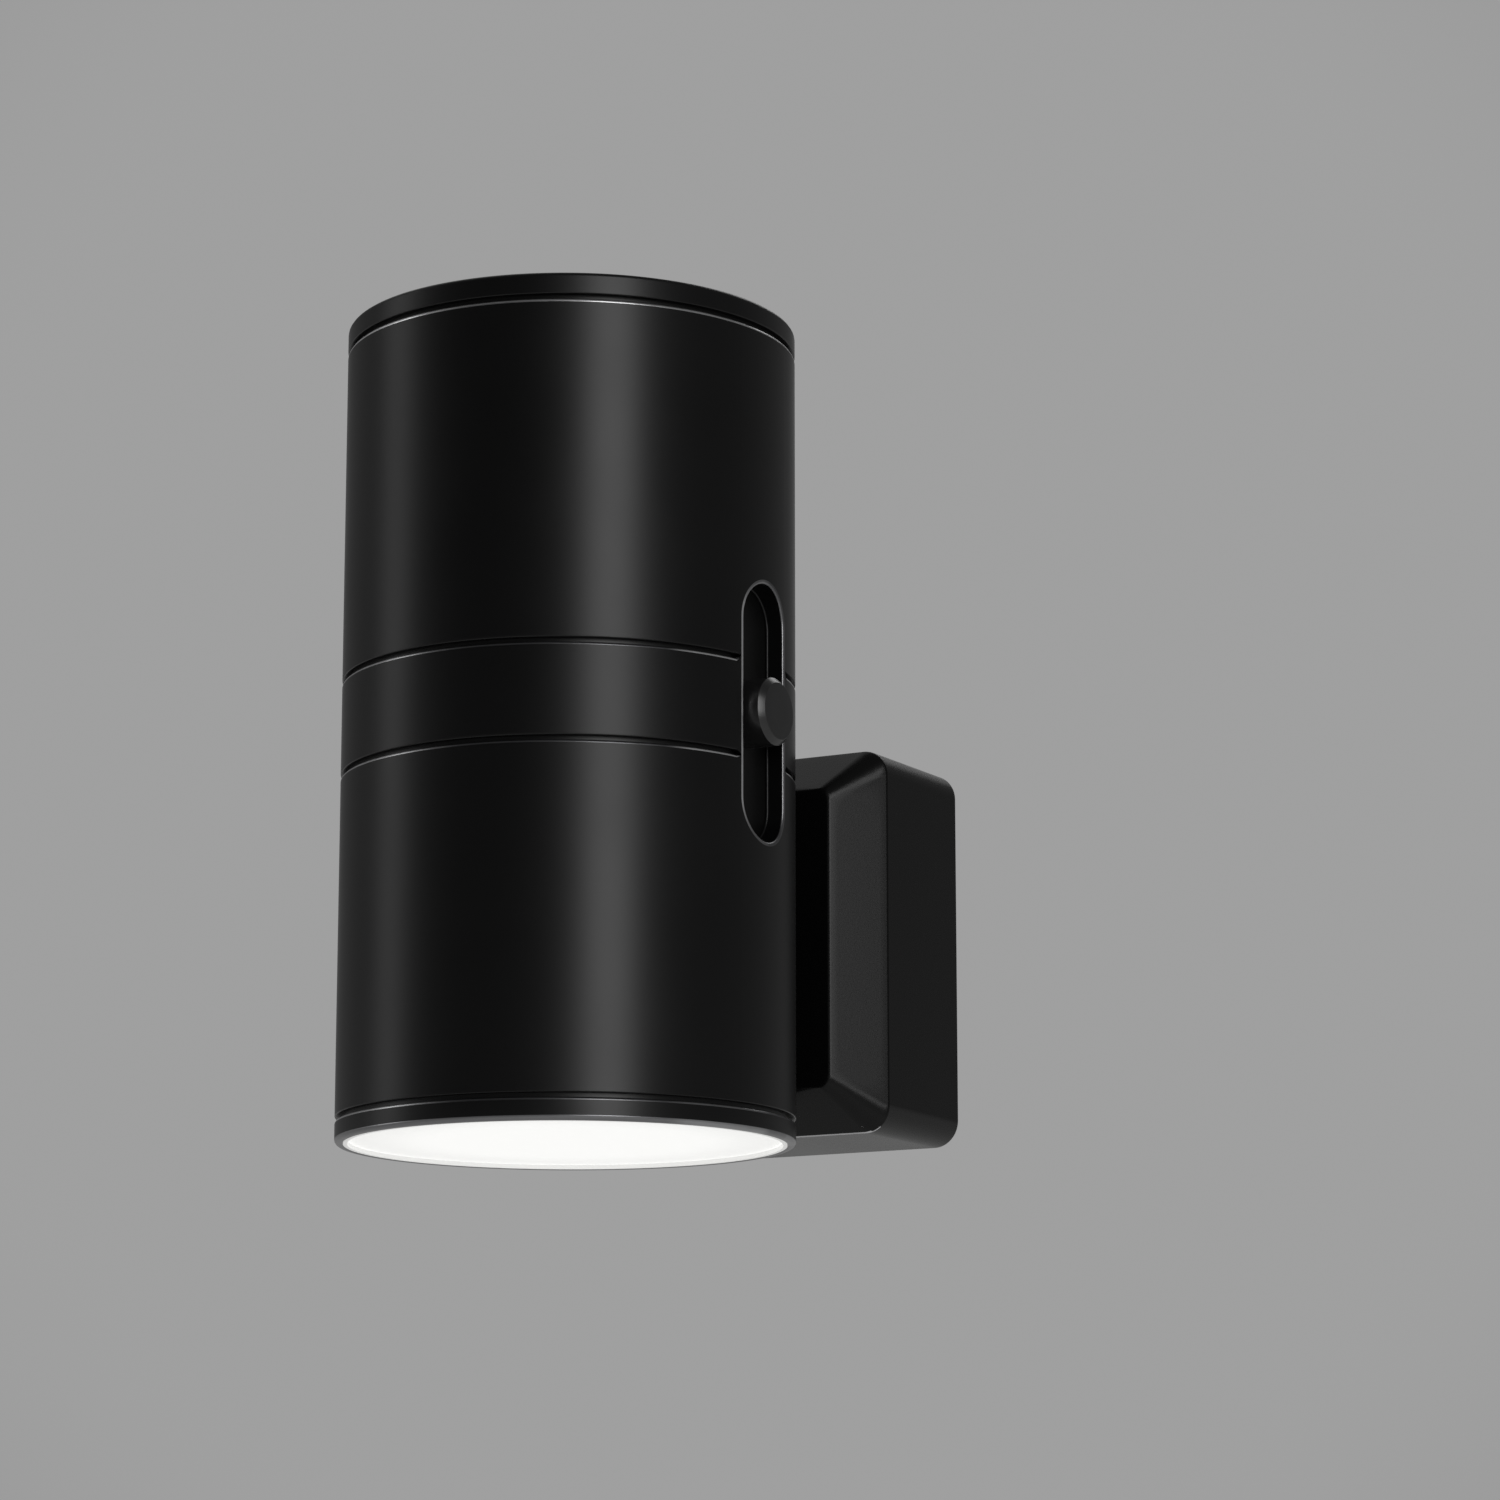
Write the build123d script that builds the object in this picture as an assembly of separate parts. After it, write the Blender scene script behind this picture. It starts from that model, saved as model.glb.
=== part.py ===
from build123d import *
import os
from math import cos, hypot, radians, sin, sqrt, tan

# Plug-in night light: an up-and-down tube lamp carried by a three-pin plug body.
#
# Origin: centre of the plug's engagement face, the face that rests on the socket.
# +Z is up and +Y points into the socket, so the lamp stands out along -Y and the
# slide knob is on the +X side. All sizes are in millimetres.
#
# Plug parts are given by their depth in front of the engagement face, along -Y.
# Head parts are drawn about the tube's own axis, with height 0 at the tube's middle,
# and placed by HEAD at the end. The lower half of the head is the upper half turned over.

# --- Fits --------------------------------------------------------------------------
push_gap = 0.05          # each side, between parts that are pushed together
running_gap = 0.3        # between the slide and what stands still
screw_clearance = 0.2    # round a screw that passes through
thread_bite = 0.02       # left round a screw in its pilot hole

# --- Lamp head ---------------------------------------------------------------------
head_diameter = 50.0
head_height = 91.0
plug_middle_height = 24.7    # plug's middle above the tube's lower end
tube_wall = 1.6
band_height = 10.0
bezel_height = 2.4
bezel_rim = 0.9          # wall left round the diffuser
seam_width = 0.5         # shadow gap at each joint of the tube
seam_depth = 0.8
edge_break = 0.15        # chamfer on the edges of the seams and rims
spigot_length = 6.0      # band's ends inside the tubes
spigot_wall = 1.5
key_width = 3.0          # rib in each tube that drops into the spigot's notch
key_depth = 0.8
bezel_spigot_length = 4.0
bezel_spigot_wall = 1.2

# --- Light: diffusers, reflectors, boards ------------------------------------------
diffuser_thickness = 1.5
diffuser_recess = 0.5    # below the bezel's rim
reflector_height = 5.9   # from the board to the flange's face
reflector_wall = 1.0
reflector_flange = 1.0
reflector_throat = 26.0  # inner diameter at the board
carrier_wall = 1.2
carrier_shelf = 1.2
carrier_bore = 16.0
carrier_rib = 1.2
carrier_rib_drop = 5.0
plate_thickness = 1.2
plate_edge_gap = 2.6     # from the heat plate to the carrier's wall
plate_bore = 7.0         # hole for the leads
board_thickness = 1.0
board_diameter = 30.0
chip_count = 6
chip_ring_diameter = 18.5
chip_length = 3.5
chip_width = 2.8
chip_height = 0.7
board_screw_spacing = 21.0
board_screw_diameter = 2.0
board_screw_head = 3.6
board_screw_length = 5.0

# --- Slide dimmer ------------------------------------------------------------------
slot_length = 28.3       # pocket in the tube's side, over its round ends
slot_width = 8.7
slot_chamfer = 0.2
pocket_depth = 2.5       # from the tube's side to the strip
slide_travel = 20.0      # whole stroke, half of it each way from the middle
knob_diameter = 7.4
knob_stand_out = 1.5     # beyond the tube's side
knob_chamfer = 0.45
knob_stem_diameter = 2.4
knob_stem_length = 1.9
strip_width = 10.0
strip_thickness = 1.2
strip_overlap = 0.5      # still covers the pocket at the end of the stroke
socket_width = 3.2       # boss on the strip's back that takes the lever
socket_length = 7.0
socket_height = 2.4
socket_pocket_depth = 1.4
lever_width = 1.2
lever_length = 4.0
rail_thickness = 1.4     # rails behind the strip
rail_reach = 10.5        # from the middle of the strip to the rail's far side
dimmer_case_gap = 2.1    # from the rails to the case
dimmer_case_width = 7.0
dimmer_case_length = 35.0
dimmer_case_height = 6.5
dimmer_case_wall = 1.0
carriage_length = 8.0
carriage_height = 2.3
control_board_width = 24.0
control_board_length = 40.0
control_board_thickness = 1.6
control_board_corner = 1.5
post_diameter = 4.0
post_spacing = 18.0
post_screw_diameter = 1.8
post_screw_head = 3.4
post_screw_length = 6.0

# --- Plug body, as wide as the tube ------------------------------------------------
plug_height = 43.4
plug_corner = 3.0
plug_block_depth = 17.1
bevel_rise = 5.0
bevel_inset = 4.9
bevel_corner = 1.4
shoulder_fillet = 0.4
front_fillet = 0.7
cover_wall = 2.0
saddle_depth = 2.0       # how far the tube sinks into the plug's front
saddle_pad_width = 24.0
saddle_pad_thickness = 3.0
base_thickness = 3.0
base_screw_margin = 5.8  # from the plug's edges
base_screw_diameter = 2.6
base_screw_head = 5.0
base_screw_length = 10.0
base_pilot_overrun = 1.0 # pilot hole beyond the screw's end
base_boss_diameter = 6.0

# --- Pins of a three-pin 13 A plug -------------------------------------------------
earth_width = 4.0
earth_height = 8.0
earth_length = 22.7
line_width = 6.35
line_height = 4.0
line_length = 17.7
line_spacing = 22.2      # between the live and neutral pins
earth_to_line = 22.2
earth_margin = 5.7       # from the earth pin's upper side to the plug's edge
pin_tip_chamfer = 1.2
sleeve_length = 9.5
sleeve_wall = 0.6
pin_collar = 1.5         # wider than the pin, each way
pin_collar_thickness = 1.2
pin_block_height = 2.0   # raised round the pins inside the base
pin_block_wall = 2.2
pin_tag_width = 2.4
pin_tag_thickness = 1.0

# --- Driver board and its components ------------------------------------------------
driver_gap = 5.0         # from the base to the board
driver_edge_gap = 2.0    # from the board to the cover's wall
driver_thickness = 1.6
driver_corner_notch = 7.5
driver_post_diameter = 5.0
driver_post_margin = 4.0 # from the board's side edges to the posts' centres
driver_post_lift = 8.0
driver_screw_diameter = 2.2
driver_screw_head = 4.0
driver_screw_length = 5.0
solder_gap = 0.05        # under a component's body
transformer_core = 10.0
transformer_bobbin = 7.4
transformer_height = 6.6
transformer_winding_height = 5.6
transformer_place = (-13.0, -2.5)    # x and z of its centre, as for the others
capacitor_diameter = 6.3
capacitor_length = 9.0
capacitor_place = (13.5, -3.5)
output_capacitor_diameter = 5.0
output_capacitor_length = 7.0
output_capacitor_place = (-7.0, 13.0)
choke_diameter = 6.0
choke_waist = 4.6
choke_height = 5.5
choke_flange = 0.8
choke_place = (7.0, 13.0)
resistor_diameter = 2.8
resistor_length = 8.0
resistor_place = (4.0, -15.0)
bridge_length = 4.7
bridge_width = 3.9
bridge_height = 2.3
bridge_place = (-5.0, -14.0)
controller_length = 4.9
controller_width = 3.9
controller_height = 1.5
controller_place = (-6.0, 5.0)

# --- What holds the head on the plug, and the leads -----------------------------------
head_screw_spacing = 13.0
head_screw_diameter = 3.0
head_screw_head = 5.4
head_screw_head_height = 1.8
head_screw_length = 11.0
head_boss_diameter = 5.4
head_boss_length = 8.6
grommet_diameter = 5.0
grommet_bore = 3.2
grommet_flange = 6.6
grommet_flange_thickness = 0.8
lead_diameter = 1.2
lead_landing = 5.0       # from the control board's end to where its leads are soldered
lead_bow = 6.0           # how far the leads stand off behind the control board

# --- Worked out from the sizes above -------------------------------------------------
head_radius = head_diameter / 2
tube_bore = head_radius - tube_wall
head_standoff = plug_block_depth + bevel_rise + head_radius - saddle_depth
head_lift = head_height / 2 - plug_middle_height
HEAD = Pos(0, -head_standoff, head_lift)

band_half = band_height / 2
tube_start = band_half + seam_width
spigot_end = tube_start + spigot_length
spigot_radius = tube_bore - push_gap
seam_radius = head_radius - seam_depth
head_end = head_height / 2
tube_end = head_end - bezel_height - seam_width
bezel_spigot_end = tube_end - bezel_spigot_length
diffuser_radius = head_radius - bezel_rim
diffuser_seat = head_end - diffuser_recess - diffuser_thickness

carrier_radius = tube_bore - 2 * push_gap
carrier_top = bezel_spigot_end - reflector_flange
plate_diameter = 2 * (carrier_radius - carrier_wall - plate_edge_gap)
chip_seat = bezel_spigot_end - reflector_height
board_seat = chip_seat - board_thickness
plate_height = board_seat - plate_thickness

strip_face = head_radius - pocket_depth
strip_back = strip_face - strip_thickness
strip_length = slot_length + slide_travel + 2 * strip_overlap
slide_reach = strip_length / 2 + slide_travel / 2
channel_half_width = strip_width / 2 + running_gap
rail_front = strip_back - running_gap
rail_back = rail_front - rail_thickness
rail_gap_half = socket_width / 2 + running_gap
case_top = rail_back - dimmer_case_gap
control_board_front = case_top - dimmer_case_height
control_board_back = control_board_front - control_board_thickness

plug_width = head_diameter
plug_front = plug_block_depth + bevel_rise
pad_face = plug_front - saddle_depth - saddle_pad_thickness
earth_pin_z = plug_height / 2 - earth_margin - earth_height / 2
line_pin_z = earth_pin_z - earth_to_line
driver_back = base_thickness + driver_gap
driver_front = driver_back + driver_thickness
driver_width = plug_width - 2 * (cover_wall + driver_edge_gap)
driver_height = plug_height - 2 * (cover_wall + driver_edge_gap)
driver_post_spacing = driver_width - 2 * driver_post_margin


# --- Forms used throughout -----------------------------------------------------------
def turned(*corners):
    """Solid turned about the tube's axis from (radius, height) corners."""
    outline = Polyline(*[(radius, 0, height) for radius, height in corners], close=True)
    return revolve(make_face(outline), Axis.Z)


def block(x, y, z):
    """Box between (low, high) limits along each axis."""
    size = [high - low for low, high in (x, y, z)]
    middle = [(high + low) / 2 for low, high in (x, y, z)]
    return Pos(*middle) * Box(*size)


def rod(radius, start, end):
    """Round bar between two points."""
    along = Vector(end) - Vector(start)
    return extrude(Plane(origin=start, z_dir=along) * Circle(radius), along.length)


def plug_slab(outline, nearer, further):
    """Outline in the plane of the wall, between two depths in front of it."""
    return extrude(Plane.XZ.offset(nearer) * outline, further - nearer)


def turned_over(shape):
    """The same piece for the lower half of the head."""
    return shape.rotate(Axis.X, 180)


def pan_screw(diameter, head_width, head_depth, length):
    """Inner screw that points along +Z, with its head's seat at height 0."""
    shank = diameter / 2
    rim = head_width / 2
    crown = [(0, -head_depth), (rim * 0.7, -head_depth), (rim, -head_depth / 2)]
    return turned(*crown, (rim, 0), (shank, 0), (shank, length), (0, length))


def countersunk_screw(diameter, head_width, length):
    """Cross-head screw that points along +Z, with its head's face at height 0."""
    shank = diameter / 2
    rim = head_width / 2
    body = turned((0, 0), (rim, 0), (shank, rim - shank), (shank, length), (0, length))
    arm = rim / 2
    blade = rim / 10
    for reach_x, reach_y in ((arm, blade), (blade, arm)):
        body -= block((-reach_x, reach_x), (-reach_y, reach_y), (0, (rim - shank) / 2))
    return body


def lead(*route):
    """Wire along straight runs, joined by the largest arcs that the runs have room for."""
    points = [Vector(*point) for point in route]
    bends = []
    for before, corner, after in zip(points, points[1:], points[2:]):
        runs = (corner - before, after - corner)
        half_turn = radians(runs[0].get_angle(runs[1])) / 2
        bends.append(0.45 * min(run.length for run in runs) / tan(half_turn))
    print("lead bend radii:", [round(bend, 1) for bend in bends])
    path = FilletPolyline(*points, radius=bends)
    return sweep(Plane(path @ 0, z_dir=path % 0) * Circle(lead_diameter / 2), path)


# --- Shell of the head ---------------------------------------------------------------
def slot_cutter(depth, growth=0.0):
    """Round-ended slot in the tube's side, cut inwards to the given distance from the axis."""
    outline = SlotOverall(slot_length + 2 * growth, slot_width + 2 * growth, rotation=90)
    return extrude(Plane.YZ.offset(depth) * outline, head_radius)


def on_tube_side(edge):
    """True for an edge of the slot that lies on the outside of the tube."""
    middle = edge @ 0.5
    outside = abs(hypot(middle.X, middle.Y) - head_radius) < edge_break / 10
    in_slot = middle.X > 0 and abs(middle.Y) < slot_width / 2 + edge_break
    return outside and in_slot


def locating_key(width, heights, outer_reach):
    """Bar on the far side from the slot that stops a tube from turning on the band."""
    across = (-width / 2, width / 2)
    return block((-outer_reach, key_depth - tube_bore), across, heights)


def bezel():
    """Ring that closes the tube and holds the diffuser in its rim."""
    spigot_bore = spigot_radius - bezel_spigot_wall
    return turned(
        (diffuser_radius, head_end),
        (head_radius - edge_break, head_end),
        (head_radius, head_end - edge_break),
        (head_radius, head_end - bezel_height + edge_break),
        (head_radius - edge_break, head_end - bezel_height),
        (seam_radius, head_end - bezel_height),
        (seam_radius, tube_end),
        (spigot_radius, tube_end),
        (spigot_radius, bezel_spigot_end),
        (spigot_bore, bezel_spigot_end),
        (spigot_bore, diffuser_seat),
        (diffuser_radius, diffuser_seat),
    )


def diffuser():
    """Opal disc, with its rim eased so that it drops into the bezel."""
    radius = diffuser_radius - push_gap
    face = diffuser_seat + diffuser_thickness
    return turned(
        (0, diffuser_seat),
        (radius, diffuser_seat),
        (radius, face - edge_break),
        (radius - edge_break, face),
        (0, face),
    )


def tube():
    """Upper tube, from the band to the bezel, with its end of the slot."""
    shell = turned(
        (tube_bore, tube_start),
        (head_radius - edge_break, tube_start),
        (head_radius, tube_start + edge_break),
        (head_radius, tube_end - edge_break),
        (head_radius - edge_break, tube_end),
        (tube_bore, tube_end),
    )
    shell -= slot_cutter(0)
    shell = chamfer(shell.edges().filter_by(on_tube_side), slot_chamfer)
    key_end = spigot_end - running_gap
    return shell + locating_key(key_width, (tube_start, key_end), tube_bore + tube_wall / 2)


def head_fixings():
    """Heights of the two head screws and of the lead hole, from the head's middle."""
    screws = [side * head_screw_spacing / 2 - head_lift for side in (-1, 1)]
    return screws, -head_lift


def drilled_for_plug(shell):
    """Lower tube with the holes for the head screws and the leads, where it sits on the plug."""
    screw_heights, lead_height = head_fixings()
    screw_hole = head_screw_diameter / 2 + screw_clearance
    drills = [(screw_hole, height) for height in screw_heights]
    drills.append((grommet_diameter / 2 + push_gap, lead_height))
    for radius, height in drills:
        shell -= rod(radius, (0, tube_bore / 2, height), (0, head_diameter, height))
    return shell


def centre_band():
    """Band that couples the tubes, with the slide's channel and rails, clear of the bosses."""
    rising = [
        (spigot_radius - spigot_wall, spigot_end),
        (spigot_radius, spigot_end),
        (spigot_radius, tube_start),
        (seam_radius, tube_start),
        (seam_radius, band_half),
        (head_radius - edge_break, band_half),
        (head_radius, band_half - edge_break),
    ]
    falling = [(radius, -height) for radius, height in reversed(rising)]
    ring = turned(*rising, *falling)
    pad = block((rail_back, strip_face), (-rail_reach, rail_reach), (-spigot_end, spigot_end))
    band = ring + (pad & Cylinder(spigot_radius, 2 * spigot_end))
    for side in (-1, 1):
        post_start = (control_board_front, side * post_spacing / 2, 0)
        band += rod(post_diameter / 2, post_start, (rail_front, side * post_spacing / 2, 0))
    inside = (rail_front, strip_face + running_gap)
    across = (-channel_half_width, channel_half_width)
    band -= block(inside, across, (-spigot_end, spigot_end))
    for low, high in ((-spigot_end, -band_half), (band_half, spigot_end)):
        band -= block((rail_front, head_radius), across, (low, high))
    band -= block((0, strip_face), (-rail_gap_half, rail_gap_half), (-spigot_end, spigot_end))
    band -= slot_cutter(strip_face)
    band = chamfer(band.edges().filter_by(on_tube_side), slot_chamfer)
    for low, high in ((-spigot_end, -tube_start), (tube_start, spigot_end)):
        band -= locating_key(key_width + 2 * push_gap, (low, high), head_radius)
    boss_room = head_boss_diameter / 2 + push_gap
    for height in head_fixings()[0]:
        band -= rod(boss_room, (0, tube_bore / 2, height), (0, head_radius, height))
    for side in (-1, 1):
        mouth = (control_board_front, side * post_spacing / 2, 0)
        pilot_end = (control_board_front + post_screw_length, side * post_spacing / 2, 0)
        band -= rod(post_screw_diameter / 2 + thread_bite, mouth, pilot_end)
    return band


# --- Light of one half of the head ---------------------------------------------------
def reflector():
    """White cone from the board to the flange that the bezel holds down."""
    throat = reflector_throat / 2
    mouth = spigot_radius - bezel_spigot_wall - reflector_wall / 2
    slope = (mouth - throat) / (bezel_spigot_end - chip_seat)
    foot = throat + reflector_wall * sqrt(1 + slope**2)
    return turned(
        (throat, chip_seat),
        (foot, chip_seat),
        (foot + slope * (carrier_top - chip_seat), carrier_top),
        (carrier_radius, carrier_top),
        (carrier_radius, bezel_spigot_end),
        (mouth, bezel_spigot_end),
    )


def led_carrier():
    """Moulded cup that stands on the band and carries the heat plate on its shelf."""
    wall_bore = carrier_radius - carrier_wall
    shelf_foot = plate_height - carrier_shelf
    cup = turned(
        (carrier_radius, spigot_end),
        (carrier_radius, carrier_top),
        (wall_bore, carrier_top),
        (wall_bore, plate_height),
        (carrier_bore / 2, plate_height),
        (carrier_bore / 2, shelf_foot),
        (wall_bore, shelf_foot),
        (wall_bore, spigot_end),
    )
    for angle in (45, 135, 225, 315):
        rib = extrude(
            make_face(
                Plane.XZ
                * Polyline(
                    (carrier_bore / 2, shelf_foot),
                    (wall_bore + carrier_wall / 2, shelf_foot),
                    (wall_bore + carrier_wall / 2, shelf_foot - carrier_rib_drop),
                    close=True,
                )
            ),
            carrier_rib / 2,
            both=True,
        )
        cup += Rot(0, 0, angle) * rib
    notch_top = slide_reach + running_gap
    across = channel_half_width
    cup -= block((rail_front, head_radius), (-across, across), (spigot_end, notch_top))
    for x, y in board_screw_places():
        cup -= rod(board_screw_diameter / 2 + thread_bite, (x, y, shelf_foot), (x, y, plate_height))
    return cup


def bossed_for_plug(carrier):
    """Lower carrier with the bosses that the head screws go into, and a hole for the leads."""
    screw_heights, lead_height = head_fixings()
    boss_start = carrier_radius - head_boss_length
    for height in screw_heights:
        boss = rod(head_boss_diameter / 2, (0, boss_start, height), (0, head_radius, height))
        carrier += boss & Cylinder(carrier_radius, head_height)
    for height in screw_heights:
        pilot = head_screw_diameter / 2 + thread_bite
        carrier -= rod(pilot, (0, boss_start + carrier_wall, height), (0, head_radius, height))
    hole = grommet_diameter / 2 + push_gap
    carrier -= rod(hole, (0, carrier_radius / 2, lead_height), (0, head_radius, lead_height))
    return carrier


def board_screw_places():
    """Centres of the two screws that hold a board, between two pairs of chips."""
    reach = board_screw_spacing / 2
    half_step = 180 / chip_count
    turns = (half_step, half_step + 180)
    return [(reach * cos(radians(turn)), reach * sin(radians(turn))) for turn in turns]


def drilled_disc(diameter, seat, thickness, bore=0.0):
    """Round plate of the light, with its lead hole and screw holes."""
    disc = Pos(0, 0, seat + thickness / 2) * Cylinder(diameter / 2, thickness)
    if bore:
        disc -= rod(bore / 2, (0, 0, seat), (0, 0, seat + thickness))
    hole = board_screw_diameter / 2 + screw_clearance
    for x, y in board_screw_places():
        disc -= rod(hole, (x, y, seat), (x, y, seat + thickness))
    return disc


def led_chips():
    """Ring of light-emitting chips on the board."""
    chip = Box(chip_length, chip_width, chip_height)
    lift = chip_seat + chip_height / 2
    places = PolarLocations(chip_ring_diameter / 2, chip_count)
    return Compound([Pos(0, 0, lift) * place * chip for place in places])


def board_screws():
    """Two screws through the board and the heat plate into the carrier's shelf."""
    shape = pan_screw(
        board_screw_diameter, board_screw_head, board_screw_head / 3, board_screw_length
    )
    down = shape.rotate(Axis.X, 180)
    return Compound([Pos(x, y, chip_seat) * down for x, y in board_screw_places()])


def led_leads():
    """Two wires from the control board up to the back of the light board."""
    landing = control_board_length / 2 - lead_landing
    wires = []
    for side in (-1, 1):
        y = side * lead_diameter
        route = (
            (control_board_back - push_gap, y, landing),
            (control_board_back - lead_bow, y, landing),
            (lead_diameter, y, landing + 1.5 * lead_bow),
            (lead_diameter, y, board_seat - push_gap),
        )
        wires.append(lead(*route))
    return Compound(wires)


# --- Slide dimmer ----------------------------------------------------------------------
def slide_knob():
    """Round knob on the strip, with a stem through it."""
    radius = knob_diameter / 2
    stem = knob_stem_diameter / 2
    height = pocket_depth + knob_stand_out
    profile = turned(
        (0, -knob_stem_length),
        (stem, -knob_stem_length),
        (stem, 0),
        (radius, 0),
        (radius, height - knob_chamfer),
        (radius - knob_chamfer, height),
        (0, height),
    )
    return Pos(strip_face, 0, 0) * profile.rotate(Axis.Y, 90)


def slide_strip():
    """Strip behind the pocket, with the boss that the lever plugs into."""
    half_width = strip_width / 2
    strip = block(
        (strip_back, strip_face),
        (-half_width, half_width),
        (-strip_length / 2, strip_length / 2),
    )
    strip = chamfer(strip.edges().filter_by(Axis.Z).group_by(Axis.X)[-1], strip_thickness / 3)
    strip += block(
        (strip_back - socket_height, strip_back),
        (-socket_width / 2, socket_width / 2),
        (-socket_length / 2, socket_length / 2),
    )
    lever_half = lever_width / 2 + push_gap
    pocket_half = lever_length / 2 + push_gap
    mouth = strip_back - socket_height
    strip -= block(
        (mouth, mouth + socket_pocket_depth), (-lever_half, lever_half), (-pocket_half, pocket_half)
    )
    stem_hole = knob_stem_diameter / 2 + push_gap
    stem_end = strip_face - knob_stem_length - push_gap
    return strip - rod(stem_hole, (stem_end, 0, 0), (strip_face, 0, 0))


def dimmer_lever():
    """Lever of the slide potentiometer, moulded with its wiper carriage."""
    inner_top = case_top - dimmer_case_wall - running_gap
    half_width = dimmer_case_width / 2 - dimmer_case_wall - running_gap
    carriage = block(
        (inner_top - carriage_height, inner_top),
        (-half_width, half_width),
        (-carriage_length / 2, carriage_length / 2),
    )
    tip = strip_back - socket_height + socket_pocket_depth - push_gap
    lever = block(
        (inner_top, tip), (-lever_width / 2, lever_width / 2), (-lever_length / 2, lever_length / 2)
    )
    return carriage + lever


def dimmer_body():
    """Folded case of the slide potentiometer, with the lever's slot in its top."""
    half_width = dimmer_case_width / 2
    half_length = dimmer_case_length / 2
    case = block(
        (control_board_front, case_top), (-half_width, half_width), (-half_length, half_length)
    )
    wall = dimmer_case_wall
    case -= block(
        (control_board_front, case_top - wall),
        (wall - half_width, half_width - wall),
        (wall - half_length, half_length - wall),
    )
    slot_half = lever_width / 2 + running_gap
    reach = slide_travel / 2 + lever_length / 2 + running_gap
    return case - block((case_top - wall, case_top), (-slot_half, slot_half), (-reach, reach))


def control_board():
    """Board on the band's posts that carries the slide potentiometer."""
    outline = RectangleRounded(control_board_width, control_board_length, control_board_corner)
    board = extrude(Plane.YZ.offset(control_board_back) * outline, control_board_thickness)
    hole = post_screw_diameter / 2 + screw_clearance
    for side in (-1, 1):
        y = side * post_spacing / 2
        board -= rod(hole, (control_board_back, y, 0), (control_board_front, y, 0))
    return board


def control_board_screws():
    """Two screws through the control board into the band's posts."""
    shape = pan_screw(post_screw_diameter, post_screw_head, post_screw_head / 3, post_screw_length)
    along = shape.rotate(Axis.Y, 90)
    places = [(control_board_back, side * post_spacing / 2, 0) for side in (-1, 1)]
    return Compound([Pos(*place) * along for place in places])


# --- Plug body -------------------------------------------------------------------------
def plug_form(wall):
    """Outside of the plug for no wall, or its cavity for a wall of that thickness."""
    width = plug_width - 2 * wall
    height = plug_height - 2 * wall
    slant = hypot(bevel_inset, bevel_rise)
    shoulder = plug_block_depth - wall * (slant - bevel_rise) / bevel_inset
    front = plug_front - wall
    inset = bevel_inset * (front - shoulder) / bevel_rise
    corner = plug_corner - wall / 2
    front_corner = max(bevel_corner - wall / 2, bevel_corner / 4)
    outer = RectangleRounded(width, height, corner)
    inner = RectangleRounded(width - 2 * inset, height - 2 * inset, front_corner)
    nose = loft([Plane.XZ.offset(shoulder) * outer, Plane.XZ.offset(front) * inner], ruled=True)
    return plug_slab(outer, 0, shoulder) + nose


def plug_cover():
    """Moulded cover with a bevelled front, hollowed for the driver and saddled for the tube."""
    body = plug_form(0)
    faces = body.faces()
    front_face = faces.sort_by(Axis.Y)[0]
    body = fillet(front_face.edges(), front_fillet)
    shoulder = body.edges().filter_by_position(
        Axis.Y, -plug_block_depth - push_gap, -plug_block_depth + push_gap
    )
    body = fillet(shoulder, shoulder_fillet)
    body -= plug_form(cover_wall)
    pad = RectangleRounded(saddle_pad_width, plug_height - 2 * cover_wall, plug_corner / 2)
    pad_body = plug_slab(pad, pad_face, plug_front - cover_wall)
    body += pad_body & plug_form(cover_wall / 2)
    column = Circle(base_boss_diameter / 2)
    cavity_front = plug_front - cover_wall / 2
    for x, z in base_screw_places():
        boss = plug_slab(Pos(x, z) * column, base_thickness, cavity_front)
        body += boss & plug_form(cover_wall / 2)
    body -= Pos(0, -head_standoff, 0) * Cylinder(head_radius + push_gap, 2 * plug_height)
    pilot = base_screw_diameter / 2 + thread_bite
    for x, z in base_screw_places():
        pilot_end = base_screw_length + base_pilot_overrun
        body -= plug_slab(Pos(x, z) * Circle(pilot), base_thickness, pilot_end)
    screw_hole = head_screw_diameter / 2 + screw_clearance
    for side in (-1, 1):
        place = Pos(0, side * head_screw_spacing / 2)
        body -= plug_slab(place * Circle(screw_hole), pad_face, plug_front)
    return body - plug_slab(Circle(grommet_diameter / 2 + push_gap), pad_face, plug_front)


def base_screw_places():
    """Centres of the four base screws, as x and z."""
    across = plug_width / 2 - base_screw_margin
    up = plug_height / 2 - base_screw_margin
    return [(x, z) for x in (-across, across) for z in (-up, up)]


def pin_places():
    """Centre, width and height of the earth, live and neutral pins."""
    live_x = line_spacing / 2
    return [
        (0, earth_pin_z, earth_width, earth_height),
        (live_x, line_pin_z, line_width, line_height),
        (-live_x, line_pin_z, line_width, line_height),
    ]


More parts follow.
